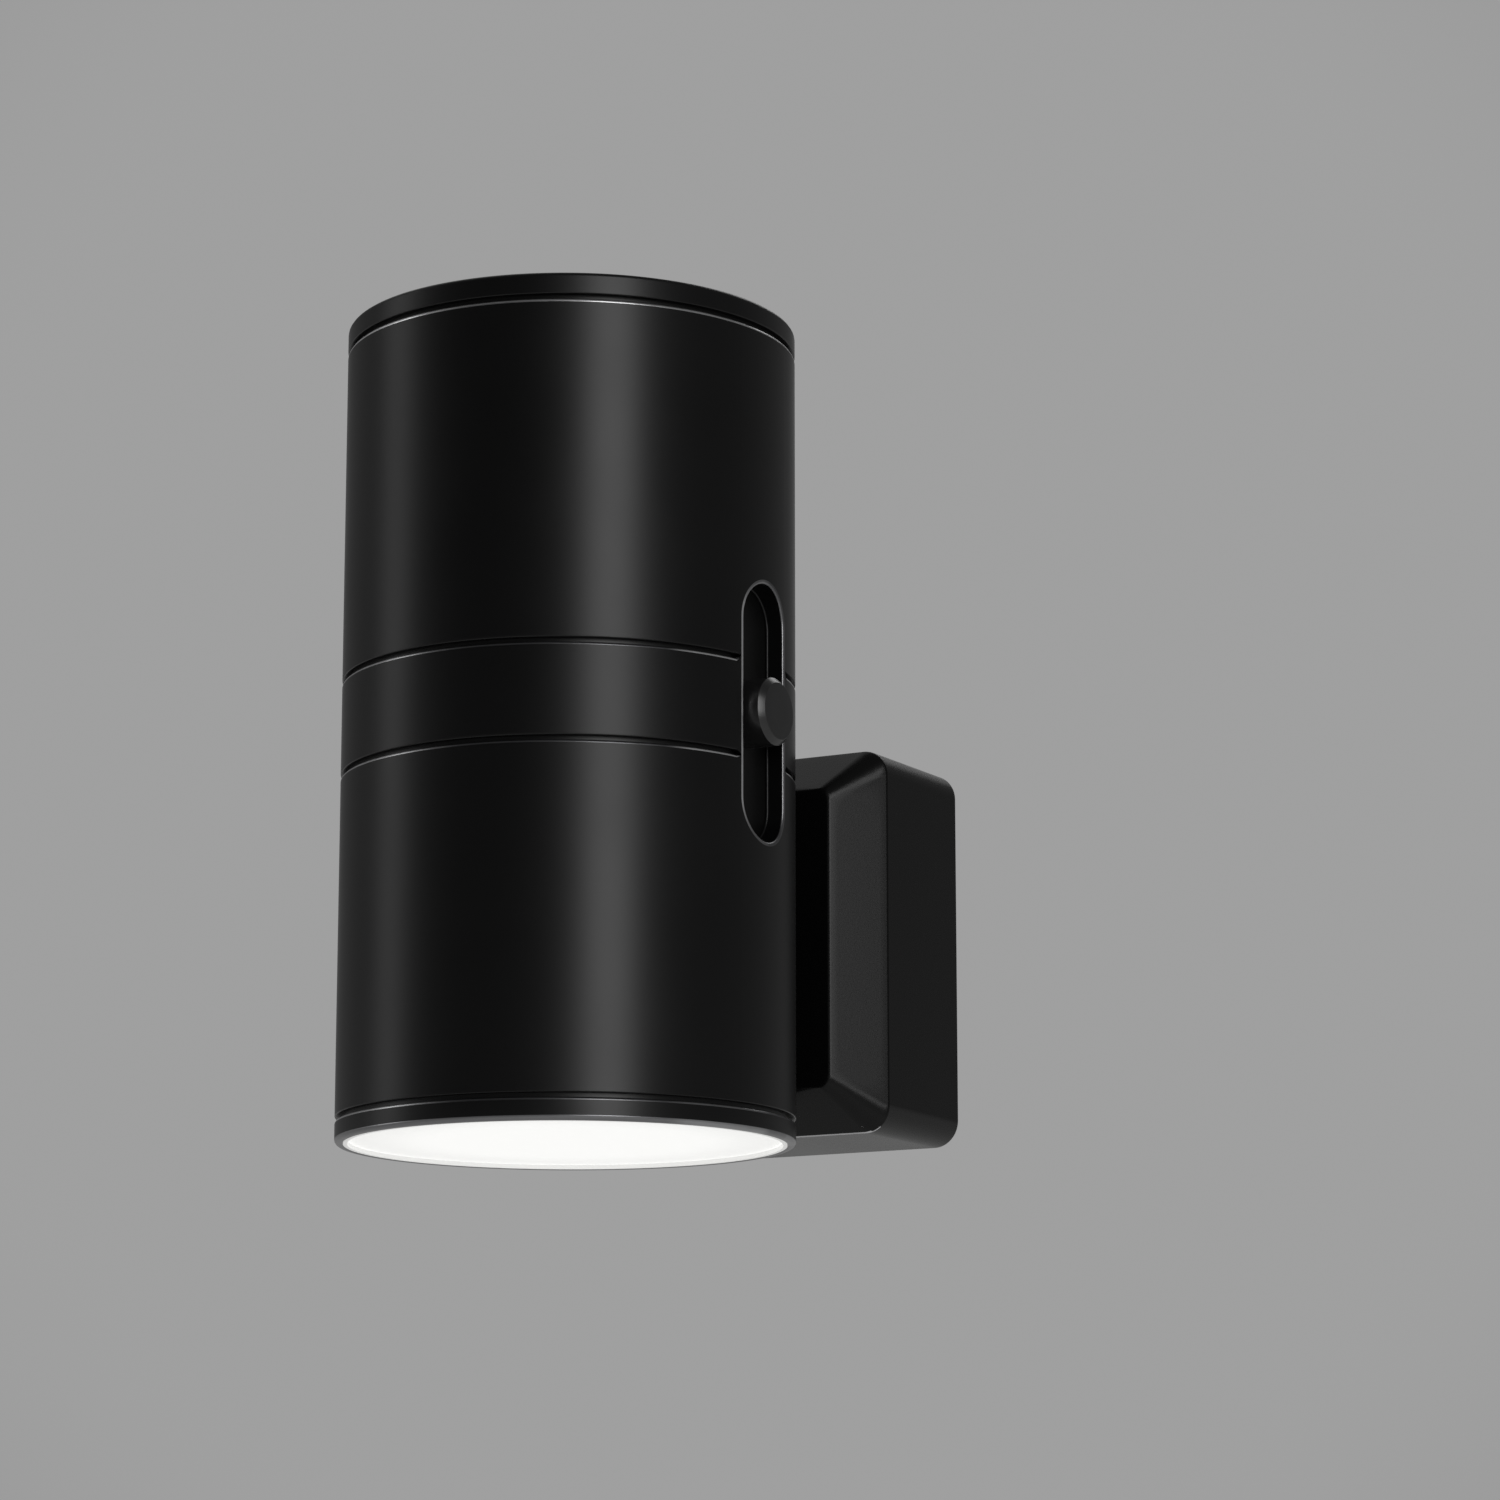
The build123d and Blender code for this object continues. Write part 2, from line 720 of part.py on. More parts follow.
def plug_base():
    """Rear plate that closes the cover and holds the three pins."""
    gap = cover_wall + push_gap
    outline = RectangleRounded(
        plug_width - 2 * gap, plug_height - 2 * gap, plug_corner - cover_wall / 2 - push_gap
    )
    base = plug_slab(outline, 0, base_thickness)
    for x, z, width, height in pin_places():
        around = Rectangle(width + 2 * pin_block_wall, height + 2 * pin_block_wall)
        base += plug_slab(Pos(x, z) * around, base_thickness, base_thickness + pin_block_height)
    boss_room = Circle(base_boss_diameter / 2 + push_gap)
    for x, z in base_screw_places():
        base -= plug_slab(Pos(x, z) * boss_room, base_thickness, base_thickness + pin_block_height)
    for side in (-1, 1):
        post = Pos(side * driver_post_spacing / 2, driver_post_lift) * Circle(driver_post_diameter / 2)
        base += plug_slab(post, base_thickness, driver_back)
    for x, z, width, height in pin_places():
        hole = Pos(x, z) * Rectangle(width + 2 * push_gap, height + 2 * push_gap)
        base -= plug_slab(hole, 0, base_thickness + pin_block_height)
    for side in (-1, 1):
        pilot = Circle(driver_screw_diameter / 2 + thread_bite)
        place = Pos(side * driver_post_spacing / 2, driver_post_lift)
        base -= plug_slab(place * pilot, driver_front - driver_screw_length, driver_back)
    rim = base_screw_head / 2 + screw_clearance
    hole = base_screw_diameter / 2 + screw_clearance
    for x, z in base_screw_places():
        sink = turned((0, 0), (rim, 0), (hole, rim - hole), (hole, base_thickness), (0, base_thickness))
        base -= Pos(x, 0, z) * sink.rotate(Axis.X, 90)
    return base


def base_screws():
    """Four countersunk screws from the rear."""
    shape = countersunk_screw(base_screw_diameter, base_screw_head, base_screw_length)
    into_plug = shape.rotate(Axis.X, 90)
    return Compound([Pos(x, 0, z) * into_plug for x, z in base_screw_places()])


def pin_stem(x, z, width, height, length):
    """Pin with a chamfered tip, from its tip to the collar inside the base."""
    collar_seat = base_thickness + pin_block_height
    stem = plug_slab(Pos(x, z) * Rectangle(width, height), -length, collar_seat)
    tip = stem.faces().sort_by(Axis.Y)[-1]
    stem = chamfer(tip.edges(), pin_tip_chamfer)
    collar = Rectangle(width + pin_collar, height + pin_collar)
    collar_top = collar_seat + pin_collar_thickness
    return stem + plug_slab(Pos(x, z) * collar, collar_seat, collar_top)


def earth_pin():
    """Moulded pin in the earth position, which opens the socket's shutters."""
    x, z, width, height = pin_places()[0]
    return pin_stem(x, z, width, height, earth_length)


def sleeve_band(x, z, growth):
    """Outline of a line pin's waist, or with growth 0 of the whole pin."""
    return Pos(x, z) * Rectangle(line_width - 2 * growth, line_height - 2 * growth)


def line_pin(place):
    """Brass line pin, waisted under its sleeve, with the tag that the driver is soldered to."""
    x, z, width, height = place
    pin = pin_stem(x, z, width, height, line_length)
    cuff = plug_slab(sleeve_band(x, z, 0), -sleeve_length, 0)
    pin -= cuff - plug_slab(sleeve_band(x, z, sleeve_wall), -sleeve_length, 0)
    tag = Pos(x, z) * Rectangle(pin_tag_width, pin_tag_thickness)
    return pin + plug_slab(tag, base_thickness + pin_block_height, driver_front + pin_tag_thickness)


def pin_sleeves():
    """Insulating sleeves, flush with the line pins."""
    sleeves = []
    for x, z, width, height in pin_places()[1:]:
        cuff = plug_slab(sleeve_band(x, z, 0), -sleeve_length, 0)
        sleeves.append(cuff - plug_slab(sleeve_band(x, z, sleeve_wall), -sleeve_length, 0))
    return Compound(sleeves)


# --- Mains driver ------------------------------------------------------------------------
def driver_board():
    """Board in the plug, notched for the corner bosses, slotted for the pins' tags."""
    board = plug_slab(Rectangle(driver_width, driver_height), driver_back, driver_front)
    notch = Rectangle(2 * driver_corner_notch, 2 * driver_corner_notch)
    for x in (-driver_width / 2, driver_width / 2):
        for z in (-driver_height / 2, driver_height / 2):
            board -= plug_slab(Pos(x, z) * notch, driver_back, driver_front)
    for x, z, width, height in pin_places()[1:]:
        slot = Rectangle(pin_tag_width + 2 * push_gap, pin_tag_thickness + 2 * push_gap)
        board -= plug_slab(Pos(x, z) * slot, driver_back, driver_front)
    hole = Circle(driver_screw_diameter / 2 + screw_clearance)
    for side in (-1, 1):
        place = Pos(side * driver_post_spacing / 2, driver_post_lift)
        board -= plug_slab(place * hole, driver_back, driver_front)
    return board


def driver_board_screws():
    """Two screws through the driver board into the base's posts."""
    shape = pan_screw(
        driver_screw_diameter, driver_screw_head, driver_screw_head / 3, driver_screw_length
    )
    to_wall = shape.rotate(Axis.X, -90)
    places = [(side * driver_post_spacing / 2, -driver_front, driver_post_lift) for side in (-1, 1)]
    return Compound([Pos(*place) * to_wall for place in places])


def on_board(outline, place, height, lift=0.0):
    """Component, or a layer of one, that stands on the driver board."""
    seat = driver_front + solder_gap + lift
    return plug_slab(Pos(*place) * outline, seat, seat + height)


def lying_can(diameter, length, place, along_z):
    """Round component that lies on the board, along z or along x."""
    radius = diameter / 2
    seat = Vector(place[0], -driver_front - solder_gap - radius, place[1])
    reach = Vector(0, 0, length / 2) if along_z else Vector(length / 2, 0, 0)
    body = rod(radius, seat - reach, seat + reach)
    return chamfer(body.edges().filter_by(GeomType.CIRCLE), radius / 6)


def transformer():
    """Ferrite core with the winding's bobbin through it."""
    core = Rectangle(transformer_core, transformer_core / 2)
    bobbin = Rectangle(transformer_bobbin, transformer_core)
    body = on_board(core, transformer_place, transformer_height)
    return body + on_board(bobbin, transformer_place, transformer_winding_height)


def filter_choke():
    """Choke wound on a drum core, between two flanges."""
    drum = on_board(Circle(choke_waist / 2), choke_place, choke_height)
    flange = Circle(choke_diameter / 2)
    for lift in (0, choke_height - choke_flange):
        drum += on_board(flange, choke_place, choke_flange, lift)
    return drum


def bridge_rectifier():
    """Four-lead rectifier package."""
    return on_board(Rectangle(bridge_length, bridge_width), bridge_place, bridge_height)


def driver_chip():
    """Controller package."""
    outline = Rectangle(controller_length, controller_width)
    return on_board(outline, controller_place, controller_height)


# --- Joint between head and plug -----------------------------------------------------------
def head_screws():
    """Two screws from inside the plug, through the saddle, into the lower carrier."""
    shape = pan_screw(
        head_screw_diameter, head_screw_head, head_screw_head_height, head_screw_length
    )
    into_head = shape.rotate(Axis.X, 90)
    places = [(0, -pad_face, side * head_screw_spacing / 2) for side in (-1, 1)]
    return Compound([Pos(*place) * into_head for place in places])


def lead_grommet():
    """Rubber bush round the leads, from the plug through the saddle into the head."""
    far_end = head_standoff - carrier_radius + carrier_wall
    bush = plug_slab(Circle(grommet_diameter / 2), pad_face, far_end)
    bush += plug_slab(Circle(grommet_flange / 2), pad_face - grommet_flange_thickness, pad_face)
    bore = Circle(grommet_bore / 2)
    return bush - plug_slab(bore, pad_face - grommet_flange_thickness, far_end)


def supply_leads():
    """Two wires from the driver board, through the bush, to the control board."""
    landing_y = lead_bow - head_standoff
    landing_z = head_lift - control_board_length / 2 + lead_landing
    wires = []
    for side in (-1, 1):
        x = side * (lead_diameter / 2 + push_gap)
        y = landing_y + side * lead_diameter
        route = (
            (x, -driver_front - push_gap, 0),
            (x, y + 2 * lead_bow, 0),
            (x + lead_bow / 2, y, landing_z),
            (control_board_back - push_gap, y, landing_z),
        )
        wires.append(lead(*route))
    return Compound(wires)


# --- The whole night light -------------------------------------------------------------
half_head = {
    "bezel": bezel(),
    "diffuser": diffuser(),
    "housing": tube(),
    "reflector": reflector(),
    "led_carrier": led_carrier(),
    "heat_plate": drilled_disc(plate_diameter, plate_height, plate_thickness, plate_bore),
    "led_board": drilled_disc(board_diameter, board_seat, board_thickness),
    "leds": led_chips(),
    "board_screws": board_screws(),
    "led_leads": led_leads(),
}
head = {f"upper_{name}": shape for name, shape in half_head.items()}
head |= {f"lower_{name}": turned_over(shape) for name, shape in half_head.items()}
head["lower_housing"] = drilled_for_plug(head["lower_housing"])
head["lower_led_carrier"] = bossed_for_plug(head["lower_led_carrier"])
head |= {
    "centre_band": centre_band(),
    "slide_knob": slide_knob(),
    "slide_strip": slide_strip(),
    "dimmer_lever": dimmer_lever(),
    "dimmer_body": dimmer_body(),
    "control_board": control_board(),
    "control_board_screws": control_board_screws(),
}
plug = {
    "plug_cover": plug_cover(),
    "plug_base": plug_base(),
    "base_screws": base_screws(),
    "earth_pin": earth_pin(),
    "live_pin": line_pin(pin_places()[1]),
    "neutral_pin": line_pin(pin_places()[2]),
    "pin_sleeves": pin_sleeves(),
    "driver_board": driver_board(),
    "driver_board_screws": driver_board_screws(),
    "transformer": transformer(),
    "smoothing_capacitor": lying_can(capacitor_diameter, capacitor_length, capacitor_place, True),
    "output_capacitor": lying_can(
        output_capacitor_diameter, output_capacitor_length, output_capacitor_place, False
    ),
    "fusible_resistor": lying_can(resistor_diameter, resistor_length, resistor_place, False),
    "filter_choke": filter_choke(),
    "bridge_rectifier": bridge_rectifier(),
    "driver_chip": driver_chip(),
    "head_screws": head_screws(),
    "lead_grommet": lead_grommet(),
    "supply_leads": supply_leads(),
}
pieces = {name: HEAD * shape for name, shape in head.items()} | plug

os.makedirs("parts", exist_ok=True)
for name, piece in pieces.items():
    export_step(piece, f"parts/{name}.step")
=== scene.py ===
from math import asin, cos, pi, radians, sin, sqrt, tau

import bmesh
import bpy
from mathutils import Matrix, Vector


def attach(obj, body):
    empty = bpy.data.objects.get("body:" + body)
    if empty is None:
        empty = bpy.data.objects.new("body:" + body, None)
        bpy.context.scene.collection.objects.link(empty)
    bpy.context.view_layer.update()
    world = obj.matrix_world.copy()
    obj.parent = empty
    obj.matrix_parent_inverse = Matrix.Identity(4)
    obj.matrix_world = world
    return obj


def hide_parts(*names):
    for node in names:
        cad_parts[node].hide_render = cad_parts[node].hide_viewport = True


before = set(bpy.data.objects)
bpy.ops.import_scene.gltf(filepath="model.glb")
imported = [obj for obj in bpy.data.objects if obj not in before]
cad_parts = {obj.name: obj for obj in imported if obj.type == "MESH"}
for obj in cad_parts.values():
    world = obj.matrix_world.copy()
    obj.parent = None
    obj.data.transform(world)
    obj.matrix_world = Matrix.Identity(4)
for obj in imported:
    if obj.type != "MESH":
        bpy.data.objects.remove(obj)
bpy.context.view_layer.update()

# A plug-in night light: a black tube that shines up and down, on a square plug body with a
# bevelled front. Everything is in metres. +Y points into the wall, +Z is up, and the slide
# knob is on the +X side. The origin is the middle of the plug's face against the socket.


# --- Camera -----------------------------------------------------------------------------
# A long lens stands a little below the lamp and to its right. It is tilted up to show the lower
# light, and turned to show the slide and the plug's bevelled front.
camera_place = Vector((0.2558, -0.4622, -0.0790))
camera_turn = radians(29.179)
camera_tilt = radians(11.349)

camera_data = bpy.data.cameras.new("camera")
camera_data.sensor_width = 36.0
camera_data.lens = 108.51
camera_data.clip_start = 0.01
camera_data.clip_end = 20.0
camera = bpy.data.objects.new("camera", camera_data)
camera.location = camera_place
camera.rotation_euler = (pi / 2 + camera_tilt, 0, camera_turn)
bpy.context.scene.collection.objects.link(camera)
bpy.context.scene.camera = camera
bpy.context.scene.view_settings.view_transform = "Standard"


# --- Studio -----------------------------------------------------------------------------
# Tall soft boxes to the right and left draw the broad and the thin streak down the tube. A wide
# one overhead lights the upper faces, and one on the wall's side gives back what the lamp throws
# up its wall. The room is grey, paler behind the lamp and down at the floor, and darker opposite.
class Signal:
    """A value in a node tree. Arithmetic on it adds the Math nodes that work it out."""

    def __init__(self, nodes, socket):
        self.nodes = nodes
        self.socket = socket

    def maths(self, operation, *values):
        sockets = dict(enumerate(values))
        return self.nodes.add("ShaderNodeMath", {"operation": operation}, sockets)[0]

    def __add__(self, other):
        return self.maths("ADD", self, other)

    def __sub__(self, other):
        return self.maths("SUBTRACT", self, other)

    def __mul__(self, other):
        return self.maths("MULTIPLY", self, other)

    def __pow__(self, other):
        return self.maths("POWER", self, other)

    def __rsub__(self, other):
        return self.maths("SUBTRACT", other, self)

    __radd__ = __add__
    __rmul__ = __mul__

    def size(self):
        return self.maths("ABSOLUTE", self)

    def or_more(self, other):
        return self.maths("MAXIMUM", self, other)

    def rise(self, low, high):
        """0 below low and 1 above high, with a smooth step between them."""
        limits = {"Value": self, "From Min": low, "From Max": high}
        return self.nodes.add("ShaderNodeMapRange", {"interpolation_type": "SMOOTHSTEP"}, limits)[0]


class Nodes:
    """The node tree of one finish, or of the world."""

    def __init__(self, tree):
        self.tree = tree
        tree.nodes.clear()

    def add(self, kind, settings=None, sockets=None):
        """Adds a node, with what it is set first, and returns its outputs as signals."""
        node = self.tree.nodes.new(kind)
        for name, value in (settings or {}).items():
            setattr(node, name, value)
        inputs = [socket for socket in node.inputs if socket.enabled]
        named = {socket.name: socket for socket in inputs}
        for key, value in (sockets or {}).items():
            socket = inputs[key] if isinstance(key, int) else named[key]
            if isinstance(value, Signal):
                self.tree.links.new(value.socket, socket)
            else:
                socket.default_value = value
        return [Signal(self, socket) for socket in node.outputs if socket.enabled]

    def noise(self, place, scale, detail=2.0):
        """Noise of this many waves to the metre."""
        sockets = {"Vector": place, "Scale": scale, "Detail": detail}
        return self.add("ShaderNodeTexNoise", {}, sockets)[0]

    def blend(self, factor, first, second):
        """A colour between two others."""
        sockets = {"Factor": factor, "A": (*first, 1), "B": (*second, 1)}
        return self.add("ShaderNodeMix", {"data_type": "RGBA"}, sockets)[0]

    def bump(self, height, depth, strength):
        sockets = {"Strength": strength, "Distance": depth, "Height": height}
        return self.add("ShaderNodeBump", {}, sockets)[0]

    def grey(self, level, blue=None):
        """A colour that is this level in red and green, and in blue unless that is given."""
        levels = (level, level, blue or level)
        return self.add("ShaderNodeCombineColor", {}, dict(enumerate(levels)))[0]

    def surface(self, sockets):
        """Gives the finish a surface with these sockets."""
        shader = self.add("ShaderNodeBsdfPrincipled", {}, sockets)[0]
        self.add("ShaderNodeOutputMaterial", {}, {"Surface": shader})


def new_finish(name):
    """A material, its empty node tree, and the object's own coordinates in that tree."""
    material = bpy.data.materials.new(name)
    material.use_nodes = True
    nodes = Nodes(material.node_tree)
    return material, nodes, nodes.add("ShaderNodeTexCoord")[3]


def soft_box(name, turn, rise, width, height, radiance):
    """Area lamp that faces the tube, seen from it at these degrees from -Y to +X and upwards."""
    distance = 1.3
    turn, rise = radians(turn), radians(rise)
    aim = Vector((sin(turn) * cos(rise), -cos(turn) * cos(rise), sin(rise)))
    lamp = bpy.data.lights.new(name, "AREA")
    lamp.shape = "RECTANGLE"
    lamp.size = width
    lamp.size_y = height
    lamp.energy = pi * radiance * width * height
    box = bpy.data.objects.new(name, lamp)
    box.location = head_middle + distance * aim
    box.rotation_euler = aim.to_track_quat("Z", "Y").to_euler()
    box.visible_camera = False
    bpy.context.scene.collection.objects.link(box)


head_middle = Vector((0, -0.0451, 0.0208))
soft_box("soft_box_right", turn=51.5, rise=13, width=0.5, height=1.1, radiance=4.5)
soft_box("soft_box_left", turn=-66, rise=13, width=0.38, height=1.1, radiance=1.2)
soft_box("soft_box_overhead", turn=-118, rise=57, width=0.9, height=0.9, radiance=0.38)
soft_box("soft_box_wall", turn=180, rise=41, width=0.6, height=0.45, radiance=1.5)

room_grey = 0.15
wall_grey = 0.2
wall_fade = (0.92, 0.985)
horizon_fade = (0.01, 0.07)
lens_side_grey = 0.1
lens_side_fade = (0.72, 0.95)
world = bpy.data.worlds.new("studio")
world.use_nodes = True
bpy.context.scene.world = world
sky = Nodes(world.node_tree)
direction = sky.add("ShaderNodeTexCoord")[0]


def towards(*aim):
    """How nearly a direction of the sky points this way, up to 1."""
    sockets = {0: direction, 1: Vector(aim).normalized()}
    return sky.add("ShaderNodeVectorMath", {"operation": "DOT_PRODUCT"}, sockets)[0]


wall_side = towards(-sin(camera_turn), cos(camera_turn), 0.2).rise(*wall_fade)
horizon = 1 - towards(0, 0, 1).rise(*horizon_fade)
pale = wall_side.or_more(horizon)
lens_side = towards(-0.1, -1, 0.2).rise(*lens_side_fade) * (1 - horizon)
level = room_grey + wall_grey * pale - lens_side_grey * lens_side
air = sky.add("ShaderNodeBackground", {}, {"Color": sky.grey(level), "Strength": 1.0})[0]
sky.add("ShaderNodeOutputWorld", {}, {"Surface": air})

floor_level = -0.7
floor_reach = 30.0
floor_glow = 0.22
floor_mesh = bpy.data.meshes.new("floor")
corners = [(-1, -1), (1, -1), (1, 1), (-1, 1)]
floor_mesh.from_pydata(
    [(x * floor_reach, y * floor_reach, floor_level) for x, y in corners], [], [(0, 1, 2, 3)]
)
floor = bpy.data.objects.new("floor", floor_mesh)
bpy.context.scene.collection.objects.link(floor)
paper, nodes, place = new_finish("floor_paper")
fibres = nodes.noise(place, 900.0)
rays = {output.socket.name: output for output in nodes.add("ShaderNodeLightPath")}
seen = rays["Is Camera Ray"] + rays["Is Glossy Ray"] + rays["Is Transmission Ray"]
nodes.surface(
    {
        "Base Color": (0.8, 0.8, 0.79, 1),
        "Roughness": 0.86 + 0.08 * fibres,
        "Emission Color": nodes.grey(seen),
        "Emission Strength": floor_glow,
    }
)
floor_mesh.materials.append(paper)


# --- Tubes ------------------------------------------------------------------------------
# Two tubes of moulded plastic with a satin black coat, one above and one below the centre
# band. Each is open at both ends. Its inner end is notched by one end of the slide's pocket,
# and a collar behind the notch's wall reaches down to the slide.
def moulded(name, colour, roughness, grain, depth, specular=0.5):
    """Moulded plastic: grain of this width and depth, and faint clouds in its colour and gloss."""
    material, nodes, place = new_finish(name)
    fine = nodes.noise(place, 1 / grain)
    clouds = nodes.noise(place, 90.0, 3.0)
    darker, lighter = ([share * part for part in colour] for share in (0.86, 1.14))
    nodes.surface(
        {
            "Base Color": nodes.blend(clouds, darker, lighter),
            "Roughness": roughness + 0.05 * (clouds - 0.5) + 0.06 * (fine - 0.5),
            "Normal": nodes.bump(fine, depth, 0.35),
            "Specular IOR Level": specular,
        }
    )
    return material


def metal(name, colour, roughness, stretch):
    """Bare or plated metal with fine lines, drawn out along the axis where stretch is small."""
    material, nodes, place = new_finish(name)
    drawn = nodes.add("ShaderNodeMapping", {}, {"Vector": place, "Scale": stretch})[0]
    lines = nodes.noise(drawn, 4000.0, 3.0)
    stain = nodes.noise(place, 260.0, 4.0)
    darker = [0.8 * part for part in colour]
    nodes.surface(
        {
            "Base Color": nodes.blend(0.5 * (lines + stain), darker, colour),
            "Metallic": 1.0,
            "Roughness": roughness + 0.12 * (stain - 0.5) + 0.06 * (lines - 0.5),
            "Normal": nodes.bump(lines, 0.000002, 0.4),
        }
    )
    return material


def bridge(shape, first, second, closed=True, sheen_places=()):
    """Joins two rows of points by faces, with the second finish, a painted highlight, at the sheen
    places.

    A row of one point is a pole.
    """
    count = max(len(first), len(second))
    for here in range(count if closed else count - 1):
        there = (here + 1) % count
        loop = []
        for point in (
            first[here % len(first)],
            first[there % len(first)],
            second[there % len(second)],
            second[here % len(second)],
        ):
            if point not in loop:
                loop.append(point)
        shape.faces.new(loop).material_index = int(here in sheen_places)


def block(shape, low, high):
    """Adds a plain bar between two corners."""
    section = [(low[1], low[2]), (high[1], low[2]), (high[1], high[2]), (low[1], high[2])]
    ends = [[shape.verts.new((x, y, z)) for y, z in section] for x in (low[0], high[0])]
    bridge(shape, *ends)
    for end in ends:
        shape.faces.new(end)


def plain_copy(piece):
    """Makes what the piece's modifiers give into its own faces."""
    graph = bpy.context.evaluated_depsgraph_get()
    mesh = bpy.data.meshes.new_from_object(
        piece.evaluated_get(graph), preserve_all_data_layers=True, depsgraph=graph
    )
    piece.modifiers.clear()
    piece.data = mesh


def from_faces(name, shape):
    """Object made of these faces."""
    mesh = bpy.data.meshes.new(name)
    shape.to_mesh(mesh)
    shape.free()
    piece = bpy.data.objects.new(name, mesh)
    bpy.context.scene.collection.objects.link(piece)
    return piece


def shade_to_corners(piece):
    """Smooth shading up to the piece's corners, led by its larger faces."""
    piece.data.set_sharp_from_angle(angle=corner_angle)
    weigh = piece.modifiers.new("weigh", "WEIGHTED_NORMAL")
    weigh.keep_sharp = True
    plain_copy(piece)


def new_piece(name, shape, finishes, place=Matrix.Translation(head_middle), bores=()):
    """Piece made of these faces, in its place and with its finishes, and with holes cut in it."""
    bmesh.ops.transform(shape, matrix=place, verts=shape.verts)
    bmesh.ops.recalc_face_normals(shape, faces=shape.faces)
    piece = from_faces(name, shape)
    piece.data.shade_smooth()
    for finish in finishes:
        piece.data.materials.append(finish)
    for cutter in bores:
        bore = piece.modifiers.new("bore", "BOOLEAN")
        bore.object = cutter
        bore.solver = "EXACT"
    if bores:
        plain_copy(piece)
    shade_to_corners(piece)
    for cutter in bores:
        bpy.data.objects.remove(cutter)
    return piece


def drill(radius, start, end):
    """Round bar that cuts a hole between two points."""
    shape = bmesh.new()
    along = Vector(end) - Vector(start)
    turn = along.to_track_quat("Z", "Y").to_matrix().to_4x4()
    place = Matrix.Translation((Vector(start) + Vector(end)) / 2) @ turn
    size = {"radius1": radius, "radius2": radius, "depth": along.length}
    bmesh.ops.create_cone(shape, cap_ends=True, segments=32, matrix=place, **size)
    return from_faces("drill", shape)


corner_angle = radians(40)
edge_count = 4


def edge_steps(radius):
    """How far in from an edge, and how far under the surface, each row of its rounding lies."""
    turns = [pi / 2 * step / edge_count for step in range(edge_count + 1)]
    return [(radius * (1 - sin(turn)), radius * (1 - cos(turn))) for turn in turns]


def sheen_edge_steps(radius):
    """The same, after the strip of the surface beside the edge that takes the painted highlight
    with it.
    """
    return [(radius + sheen_width, 0)] + edge_steps(radius)


shell_black = moulded("shell_black", (0.0014, 0.0014, 0.0015), 0.34, 0.00012, 0.000004, 0.3)
# The edge finish is bright metal laid along the shell's edges. It is a painted highlight that draws
# the thin lines of light on them.
painted_edge_sheen, nodes, place = new_finish("painted_edge_sheen")
x, y, z = nodes.add("ShaderNodeSeparateXYZ", {}, {0: place})[:3]
from_knob = (z - head_middle.z).size()
wallward = y - head_middle.y
# The painted highlight is brightest beside the knob, most on its front side, and less so at the
# top, on the plug and on the far side. Round the lower mouth there is hardly any.
beside_slide = x.rise(0.0205, 0.0225) * (1 - 0.8 * from_knob.rise(0.0100, 0.0140))
front_side = 1 - 0.88 * wallward.rise(-0.001, 0.001) + 0.5 * wallward.rise(0.0050, 0.0055)
at_top = z.rise(0.0605, 0.0625)
at_mouth = (head_middle.z - z).rise(0.0449, 0.0451)
far_side = 1 - x.rise(-0.009, 0.003)
on_plug = y.rise(-0.0185, -0.0175)
painted_sheen = beside_slide * front_side + 0.5 * (at_top + on_plug)
painted_sheen += 0.1 * at_mouth + 0.6 * far_side * (1 - at_mouth)
patches = nodes.noise(place, 700.0, 3.0)
faint_sheen = (0.12, 0.12, 0.125)
bright = (0.85, 0.85, 0.86)
nodes.surface(
    {
        "Base Color": nodes.blend(painted_sheen * (0.85 + 0.3 * patches), faint_sheen, bright),
        "Metallic": 1.0,
        "Roughness": 0.24 + 0.12 * patches,
    }
)
tube_radius = 0.025
tube_bore = 0.0234
tube_start = 0.0055
tube_end = 0.0426
edge_radius = 0.0003
top_edge_radius = 0.0004
sharp_edge = 0.00012
slot_edge = 0.00025
sheen_width = 0.0002
slot_half_width = 0.00435
slot_half_length = 0.01415
pocket_foot = 0.0226
bead = 0.0002
collar_width = 0.0007
collar_step = 0.0002
bore_edge = 0.0003
arc_middle = slot_half_length - slot_half_width
arc_turns = [radians(angle) for angle in range(-90, 91, 5)]
first_turn = radians(12.7)
round_count = 216
round_turns = [
    first_turn + (tau - 2 * first_turn) * step / (round_count - 1) for step in range(round_count)
]
bead_steps = edge_steps(bead)
end_radii = [0.0245, 0.0243, 0.0241, 0.0239, 0.0237]


def on_tube(radius, y, z):
    """Point on the +X side of a tube of this radius."""
    return (sqrt(radius * radius - y * y), y, z)


def round_tube(radius, z, turns=round_turns):
    return [(radius * cos(turn), radius * sin(turn), z) for turn in turns]


def notch(offset, rise, x=None, radius=None):
    """Points along the notch's edge, or beside it: a corner, round the arc, and a corner."""
    reach = slot_half_width + offset
    path = [(-reach, tube_start + rise)]
    path += [(reach * sin(turn), arc_middle + reach * cos(turn)) for turn in arc_turns]
    path += [(reach, tube_start + rise)]
    return [(x, y, z) if x else on_tube(radius, y, z) for y, z in path]


